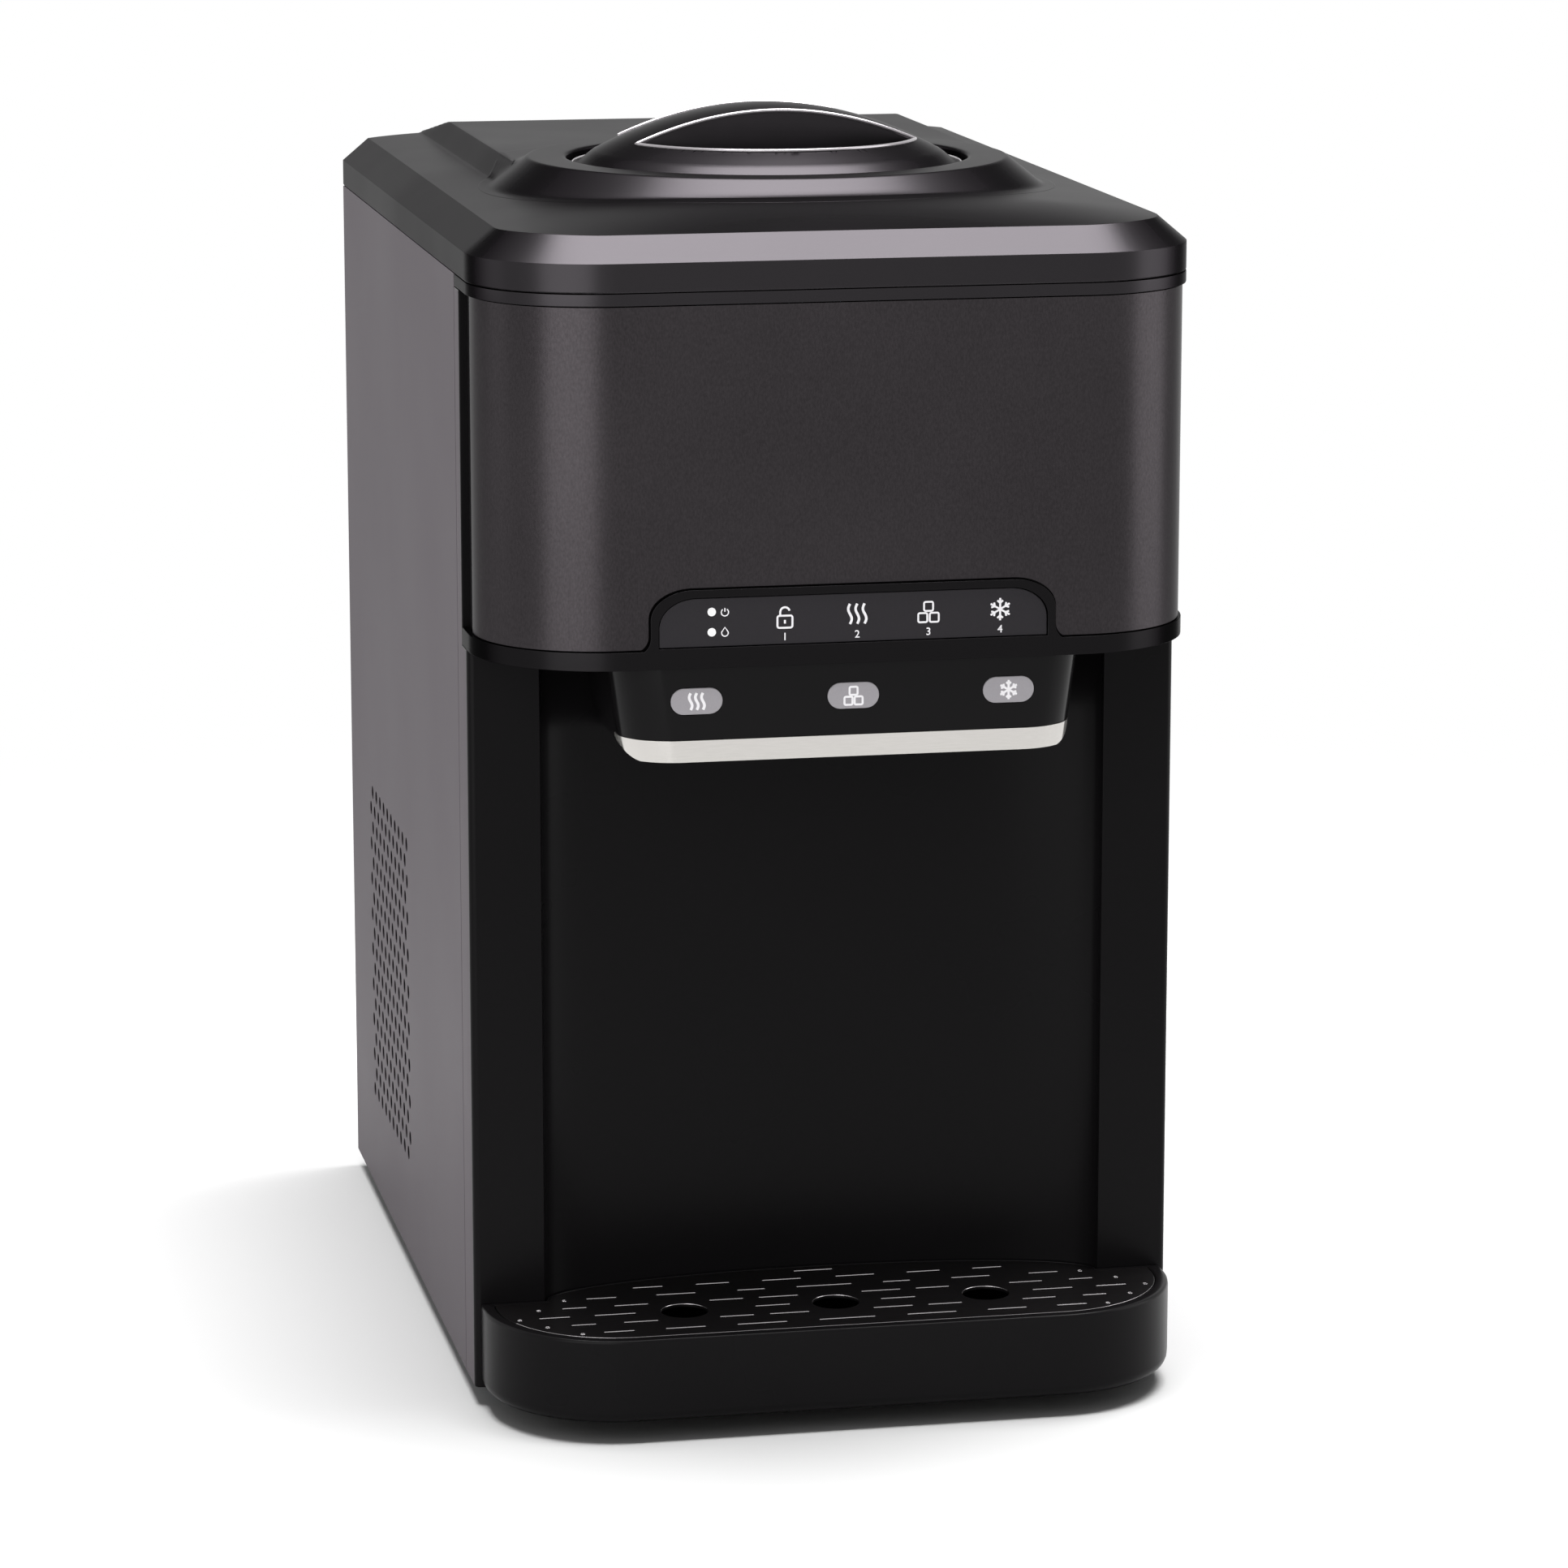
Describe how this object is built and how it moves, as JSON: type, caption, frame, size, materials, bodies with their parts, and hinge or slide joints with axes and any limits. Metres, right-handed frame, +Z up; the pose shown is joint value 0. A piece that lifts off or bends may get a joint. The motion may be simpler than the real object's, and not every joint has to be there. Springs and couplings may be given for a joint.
{
  "type": "countertop ice maker and water dispenser",
  "caption": "Countertop ice and water dispenser with a spout over a slide-out drip tray, a touch key arch, a crowned cover and a lift-off round well cap.",
  "frame": {"origin": "on the supporting surface, under the middle of the overall box", "axes": "+Z up, -Y to the front where the spout is, +X to the right seen from the front"},
  "size_m": [0.3, 0.452, 0.5354],
  "materials": {
    "side_paint": "painted steel, fine satin",
    "black_plastic": "black moulded plastic, satin gloss",
    "cover_plastic": "dark grey moulded plastic, soft gloss",
    "dark_steel": "dark coated steel, brushed",
    "satin_silver": "satin silver trim",
    "label_grey": "grey moulded label plate",
    "galvanised": "galvanised sheet steel",
    "stainless": "stainless steel",
    "copper": "copper tube",
    "aluminium": "bare aluminium fins",
    "rubber": "black rubber",
    "white_plastic": "white moulded plastic",
    "silicone": "milky silicone",
    "board_green": "green circuit board",
    "foam": "white foam plastic",
    "clear_blue": "bluish moulded plastic"
  },
  "bodies": {
    "body": {"base_pan": "galvanised", "foot_front_left": "rubber", "foot_rear_left": "rubber", "foot_front_right": "rubber", "foot_rear_right": "rubber", "side_panel_left": "side_paint", "side_panel_right": "side_paint", "rear_panel": "side_paint", "front_frame": "black_plastic", "panel_rim": "black_plastic", "key_panel": "black_plastic", "upper_housing": "black_plastic", "upper_front_panel": "dark_steel", "touch_board": "board_green", "cover_band": "black_plastic", "spout_housing": "black_plastic", "spout_trim": "satin_silver", "label_hot": "label_grey", "label_ice": "label_grey", "label_cold": "label_grey", "top_cover": "cover_plastic", "middle_deck": "galvanised", "ice_bin": "white_plastic", "bin_cover": "foam", "auger_motor": "galvanised", "ice_chute": "white_plastic", "gate_motor": "white_plastic", "ice_unit_frame": "galvanised", "evaporator": "copper", "tray_motor": "white_plastic", "reservoir": "clear_blue", "water_pump": "white_plastic", "hot_tank": "stainless", "cold_tank": "foam", "outlet_valve_hot": "white_plastic", "outlet_valve_cold": "white_plastic", "hose_hot": "silicone", "hose_cold": "silicone", "feed_hose_hot": "silicone", "feed_hose_cold": "silicone", "pump_hose": "silicone", "compressor": "black_plastic", "condenser": "aluminium", "fan_shroud": "black_plastic", "fan_motor": "galvanised", "power_board": "board_green", "switch_housing": "black_plastic", "cord_gland": "rubber", "drain_port": "black_plastic"},
    "cap": {"port_cap": "cover_plastic", "cap_seal": "rubber"},
    "tray": {"drip_tray": "black_plastic"},
    "grille": {"drip_grille": "dark_steel"},
    "fan": {"fan_rotor": "white_plastic"},
    "auger": {"ice_auger": "stainless"},
    "gate": {"ice_gate": "white_plastic"},
    "swing_tray": {"water_tray": "white_plastic"},
    "float": {"level_float": "foam"},
    "rocker": {"power_rocker": "black_plastic"},
    "plug": {"drain_plug": "rubber"}
  },
  "joints": [
    {"name": "cap_lift", "type": "slide", "parent": "body", "child": "cap", "axis": [0, 0, 1], "range_m": [0, 0.08]},
    {"name": "tray_pull", "type": "slide", "parent": "body", "child": "tray", "axis": [0, -1, 0], "range_m": [0, 0.14]},
    {"name": "grille_lift", "type": "slide", "parent": "tray", "child": "grille", "axis": [0, 0, 1], "range_m": [0, 0.03]},
    {"name": "fan_spin", "type": "hinge", "parent": "body", "child": "fan", "pos_m": [-0.107, 0.097, 0.127], "axis": [1, 0, 0], "continuous": true},
    {"name": "auger_spin", "type": "hinge", "parent": "body", "child": "auger", "pos_m": [0, 0, 0.363], "axis": [0, 1, 0], "continuous": true},
    {"name": "gate_swing", "type": "hinge", "parent": "body", "child": "gate", "pos_m": [0, -0.1715, 0.316], "axis": [1, 0, 0], "range_deg": [0, 55], "stiffness_Nm_per_rad": 0.01, "springref_deg": -17.19},
    {"name": "water_tray_swing", "type": "hinge", "parent": "body", "child": "swing_tray", "pos_m": [0, 0.126, 0.462], "axis": [1, 0, 0], "range_deg": [0, 75]},
    {"name": "float_rise", "type": "slide", "parent": "body", "child": "float", "axis": [0, 0, 1], "range_m": [0, 0.055]},
    {"name": "rocker_tip", "type": "hinge", "parent": "body", "child": "rocker", "pos_m": [-0.1, 0.217, 0.06], "axis": [1, 0, 0], "range_deg": [0, 16]},
    {"name": "plug_pull", "type": "slide", "parent": "body", "child": "plug", "axis": [0, 1, 0], "range_m": [0, 0.025]}
  ]
}
